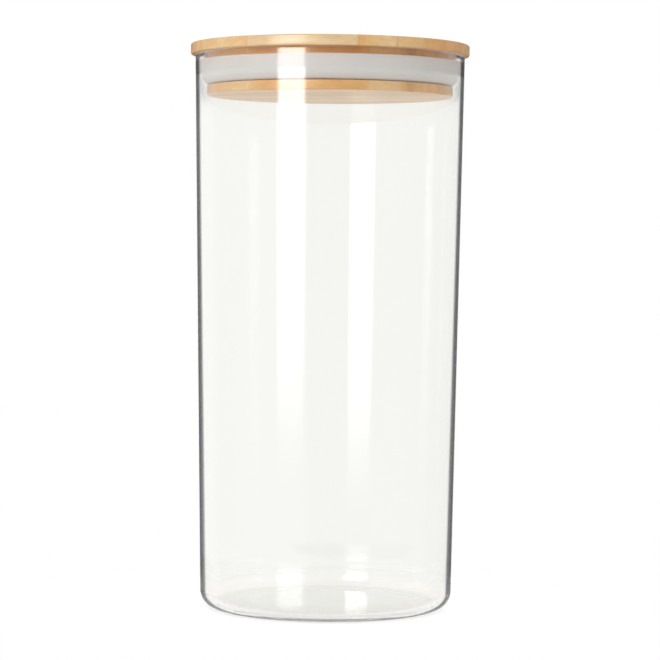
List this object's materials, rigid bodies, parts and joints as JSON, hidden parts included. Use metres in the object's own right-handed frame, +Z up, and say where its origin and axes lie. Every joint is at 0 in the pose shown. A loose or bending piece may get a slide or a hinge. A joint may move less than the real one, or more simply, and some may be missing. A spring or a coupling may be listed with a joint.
{
  "type": "lidded glass canister",
  "caption": "Tall round glass canister with a lift-off bamboo lid turned from glued staves; a cup-shaped silicone lip seal on the lid wipes the inside of the glass mouth.",
  "frame": {"origin": "on the table under the middle of the jar, in the plane of the ring it stands on", "axes": "+Z up along the axis of the jar and lid; +Y away from the picture's camera; +X to its right"},
  "size_m": [0.1086, 0.1086, 0.2196],
  "materials": {
    "glass": "clear, polished",
    "bamboo": "sanded and oiled",
    "silicone": "milky, satin"
  },
  "bodies": {
    "jar": {"glass_jar": "glass"},
    "seal": {"lip_seal": "silicone"},
    "lid": {"lid_stave_01": "bamboo", "lid_stave_02": "bamboo", "lid_stave_03": "bamboo", "lid_stave_04": "bamboo", "lid_stave_05": "bamboo", "lid_stave_06": "bamboo", "lid_stave_07": "bamboo", "lid_stave_08": "bamboo", "lid_stave_09": "bamboo", "lid_stave_10": "bamboo", "lid_stave_11": "bamboo", "lid_stave_12": "bamboo", "lid_stave_13": "bamboo", "lid_stave_14": "bamboo"}
  },
  "joints": [
    {"name": "lid_lift", "type": "slide", "parent": "jar", "child": "seal", "axis": [0, 0, 1], "range_m": [0, 0.12]},
    {"name": "lid_turn", "type": "hinge", "parent": "seal", "child": "lid", "pos_m": [0, 0, 0.2096], "axis": [0, 0, 1], "continuous": true}
  ]
}
